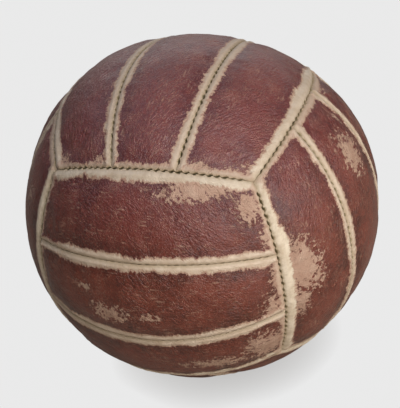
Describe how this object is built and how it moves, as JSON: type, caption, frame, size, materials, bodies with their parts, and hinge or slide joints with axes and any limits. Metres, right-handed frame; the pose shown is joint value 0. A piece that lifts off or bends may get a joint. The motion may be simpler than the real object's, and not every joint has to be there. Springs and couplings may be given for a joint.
{
  "type": "medicine ball",
  "caption": "Stuffed leather medicine ball: strip panels sewn edge to edge over a canvas liner, hair padding and a dense textile core.",
  "frame": {"origin": "centre of the ball", "axes": "+Z through the middle of the top face of three strips, away from the flat that the ball rests on; the top strips run along Y, and -Y is the front face, whose strips run along X"},
  "size_m": [0.25, 0.25, 0.2475],
  "materials": {
    "panel_leather": "oxblood, semi-gloss, rubbed to cream and tan along the seams",
    "seam_thread": "waxed linen",
    "liner_canvas": "unbleached cotton canvas",
    "hair_stuffing": "curled animal hair",
    "rag_stuffing": "packed textile waste"
  },
  "bodies": {
    "root": {"top_middle_panel": "panel_leather", "top_right_panel": "panel_leather", "top_left_panel": "panel_leather", "bottom_middle_panel": "panel_leather", "bottom_right_panel": "panel_leather", "bottom_left_panel": "panel_leather", "front_middle_panel": "panel_leather", "front_upper_panel": "panel_leather", "front_lower_panel": "panel_leather", "back_middle_panel": "panel_leather", "back_upper_panel": "panel_leather", "back_lower_panel": "panel_leather", "right_middle_panel": "panel_leather", "right_back_panel": "panel_leather", "right_front_panel": "panel_leather", "left_middle_panel": "panel_leather", "left_back_panel": "panel_leather", "left_front_panel": "panel_leather", "top_right_seam_thread": "seam_thread", "top_left_seam_thread": "seam_thread", "bottom_right_seam_thread": "seam_thread", "bottom_left_seam_thread": "seam_thread", "front_upper_seam_thread": "seam_thread", "front_lower_seam_thread": "seam_thread", "back_upper_seam_thread": "seam_thread", "back_lower_seam_thread": "seam_thread", "right_back_seam_thread": "seam_thread", "right_front_seam_thread": "seam_thread", "left_back_seam_thread": "seam_thread", "left_front_seam_thread": "seam_thread", "top_front_border_thread": "seam_thread", "top_back_border_thread": "seam_thread", "bottom_front_border_thread": "seam_thread", "bottom_back_border_thread": "seam_thread", "front_right_border_thread": "seam_thread", "front_left_border_thread": "seam_thread", "back_right_border_thread": "seam_thread", "back_left_border_thread": "seam_thread", "right_top_border_thread": "seam_thread", "right_bottom_border_thread": "seam_thread", "left_top_border_thread": "seam_thread", "left_bottom_border_thread": "seam_thread", "canvas_liner": "liner_canvas", "hair_padding": "hair_stuffing", "rag_core": "rag_stuffing"}
  },
  "joints": []
}
